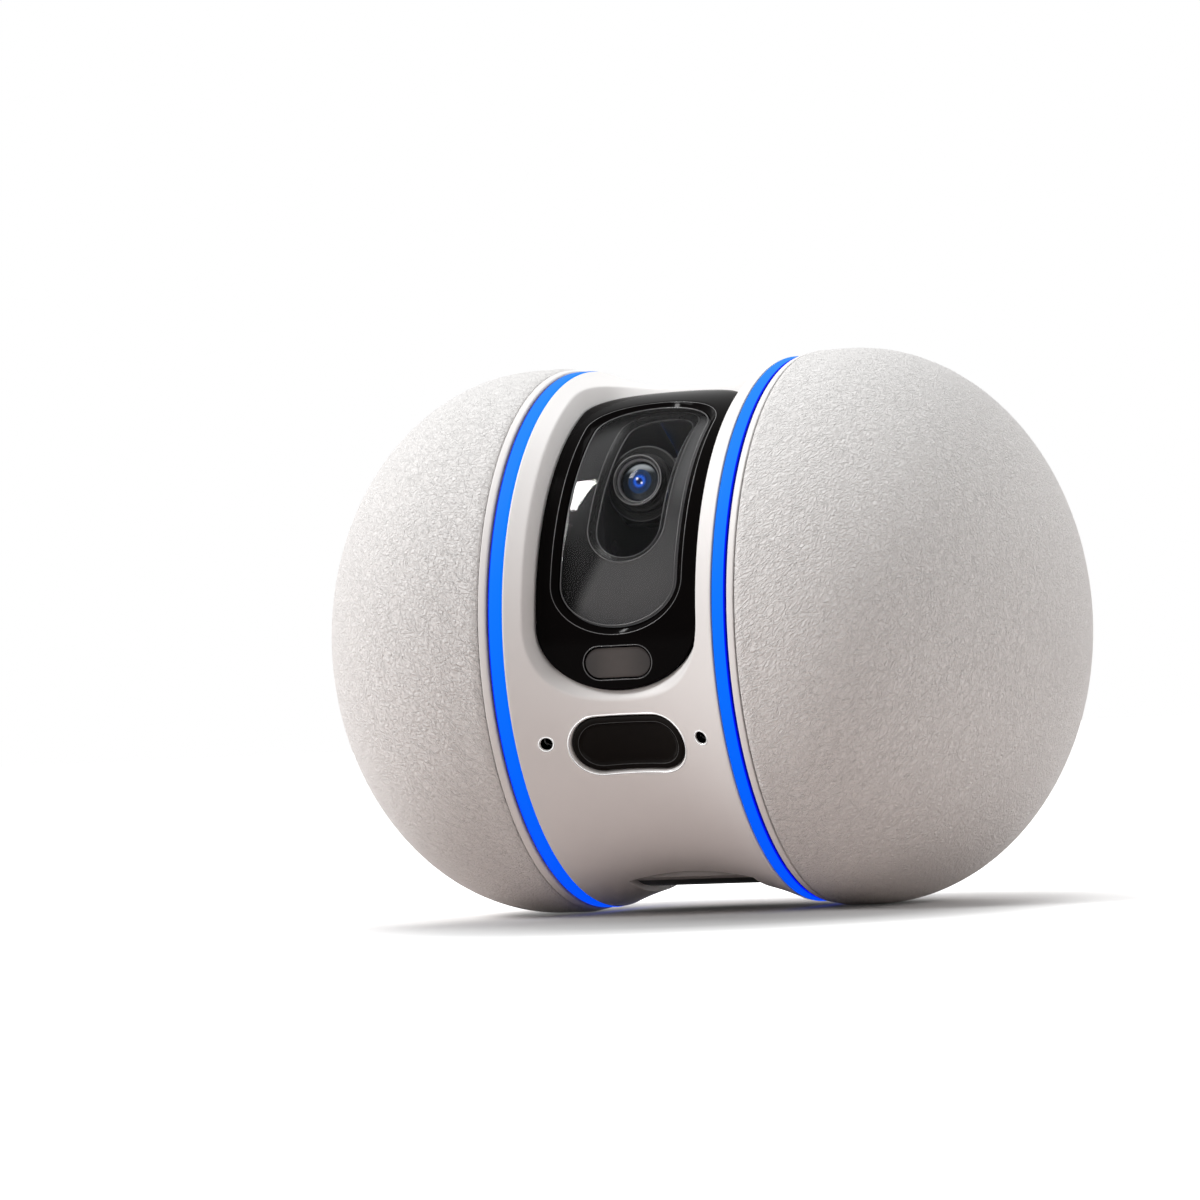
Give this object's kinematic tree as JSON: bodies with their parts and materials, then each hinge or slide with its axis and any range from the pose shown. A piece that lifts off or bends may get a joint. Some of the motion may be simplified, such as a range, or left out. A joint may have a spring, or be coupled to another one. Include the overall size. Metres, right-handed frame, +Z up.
{
  "type": "pet camera",
  "caption": "Rolling pet camera: a saddle-shaped body with a tilting lens behind a dark window, carried between domed, grained wheels with lit blue rings.",
  "frame": {"origin": "on the floor, under the middle of the body; the axle line is 65 mm above it", "axes": "+X runs along the axle from the left wheel to the right one as seen from the front, -Y is the front where the camera looks, +Z is up"},
  "size_m": [0.1814, 0.13, 0.13],
  "materials": {
    "white_shell": "satin moulded plastic",
    "white_skin": "fine leather-like grain, soft touch",
    "white_rim": "smooth satin",
    "light_guide": "translucent light guide, lit blue",
    "black_panel": "piano black gloss",
    "smoked_pane": "smoked clear pane",
    "night_window": "translucent grey gloss",
    "sensor_window": "dark gloss, infrared clear",
    "black_plastic": "satin black",
    "lens_glass": "coated lens",
    "grey_plastic": "plain moulded",
    "steel": "machined",
    "brass": "machined",
    "gold_contact": "gold plated",
    "gear_plastic": "acetal gear",
    "circuit_board": "solder resist",
    "battery_wrap": "shrink sleeve"
  },
  "bodies": {
    "body": {"front_shell": "white_shell", "rear_shell": "white_shell", "window_fascia": "black_panel", "smoked_pane": "smoked_pane", "night_light_window": "night_window", "night_light_board": "circuit_board", "camera_mask": "black_plastic", "front_sensor_window": "sensor_window", "sensor_board": "circuit_board", "left_microphone": "black_plastic", "right_microphone": "black_plastic", "tilt_motor": "steel", "camera_bracket": "grey_plastic", "chassis_tray": "grey_plastic", "battery_pack": "battery_wrap", "ballast_plate": "steel", "main_board": "circuit_board", "switch_board": "circuit_board", "speaker": "black_plastic", "charging_socket": "steel", "underside_plate": "black_panel", "left_charging_contact": "gold_contact", "right_charging_contact": "gold_contact", "left_end_plate": "grey_plastic", "left_led_board": "circuit_board", "left_light_ring": "light_guide", "left_axle_bolt": "steel", "left_drive_motor": "steel", "left_screw_1": "steel", "left_screw_2": "steel", "right_end_plate": "grey_plastic", "right_led_board": "circuit_board", "right_light_ring": "light_guide", "right_axle_bolt": "steel", "right_drive_motor": "steel", "right_screw_1": "steel", "right_screw_2": "steel"},
    "left_wheel": {"left_wheel_skin": "white_skin", "left_hub_shell": "grey_plastic", "left_wheel_rim": "white_rim", "left_hub_plate": "grey_plastic", "left_wheel_bearing": "steel", "left_wheel_gear": "gear_plastic"},
    "right_wheel": {"right_wheel_skin": "white_skin", "right_hub_shell": "grey_plastic", "right_wheel_rim": "white_rim", "right_hub_plate": "grey_plastic", "right_wheel_bearing": "steel", "right_wheel_gear": "gear_plastic"},
    "left_pinion": {"left_drive_pinion": "brass"},
    "right_pinion": {"right_drive_pinion": "brass"},
    "camera": {"camera_pod": "black_plastic", "lens_barrel": "black_plastic", "lens_glass": "lens_glass", "image_sensor_board": "circuit_board", "tilt_gear": "gear_plastic"},
    "tilt_drive": {"tilt_pinion": "gear_plastic"},
    "button": {"power_button": "grey_plastic"}
  },
  "joints": [
    {"name": "left_wheel_spin", "type": "hinge", "parent": "body", "child": "left_wheel", "pos_m": [0, 0, 0.065], "axis": [1, 0, 0], "continuous": true},
    {"name": "right_wheel_spin", "type": "hinge", "parent": "body", "child": "right_wheel", "pos_m": [0, 0, 0.065], "axis": [1, 0, 0], "continuous": true},
    {"name": "left_pinion_spin", "type": "hinge", "parent": "body", "child": "left_pinion", "pos_m": [0, 0.01741, 0.05495], "axis": [1, 0, 0], "continuous": true},
    {"name": "right_pinion_spin", "type": "hinge", "parent": "body", "child": "right_pinion", "pos_m": [0, 0.01741, 0.05495], "axis": [1, 0, 0], "continuous": true},
    {"name": "camera_tilt", "type": "hinge", "parent": "body", "child": "camera", "pos_m": [-0.0012, -0.02617, 0.09792], "axis": [1, 0, 0], "range_deg": [-18, 36]},
    {"name": "tilt_pinion_spin", "type": "hinge", "parent": "body", "child": "tilt_drive", "pos_m": [-0.0012, -0.02617, 0.08582], "axis": [1, 0, 0], "range_deg": [-120, 120]},
    {"name": "power_button_press", "type": "slide", "parent": "body", "child": "button", "axis": [0, -0.7071, -0.7071], "range_m": [0, 0.001], "stiffness_N_per_m": 400, "springref_m": -0.002}
  ],
  "couplings": [
    {"joint": "left_pinion_spin", "follows": "left_wheel_spin", "ratio": -3},
    {"joint": "right_pinion_spin", "follows": "right_wheel_spin", "ratio": -3},
    {"joint": "tilt_pinion_spin", "follows": "camera_tilt", "ratio": -2}
  ]
}
